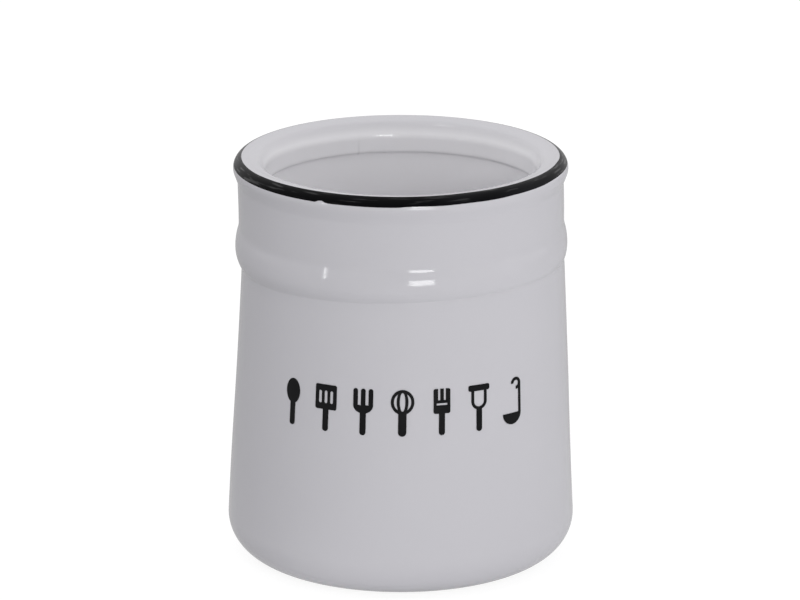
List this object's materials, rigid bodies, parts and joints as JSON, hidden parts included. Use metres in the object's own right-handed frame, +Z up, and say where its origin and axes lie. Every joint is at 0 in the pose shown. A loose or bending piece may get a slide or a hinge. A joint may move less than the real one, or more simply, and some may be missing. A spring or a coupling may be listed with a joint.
{
  "type": "utensil holder",
  "caption": "Round glazed ceramic crock that stands on a worktop and holds kitchen tools upright, with a black rolled rim, a shoulder bead and a tapered wall.",
  "frame": {"origin": "centre of the foot, on the surface that the pot stands on", "axes": "+Z up along the axis that the pot is turned about; the middle of the printed row faces -Y"},
  "size_m": [0.1366, 0.1366, 0.16],
  "materials": {
    "bare_clay": "matte, unglazed stoneware on the foot ring",
    "white_glaze": "gloss",
    "black_glaze": "gloss, brushed on",
    "black_enamel": "satin, printed film"
  },
  "bodies": {
    "root": {"clay_body": "bare_clay", "outer_glaze": "white_glaze", "rim_band": "black_glaze", "inner_glaze": "white_glaze", "base_glaze": "white_glaze", "decal_spoon": "black_enamel", "decal_turner": "black_enamel", "decal_fork": "black_enamel", "decal_whisk": "black_enamel", "decal_brush": "black_enamel", "decal_masher": "black_enamel", "decal_ladle": "black_enamel"}
  },
  "joints": []
}
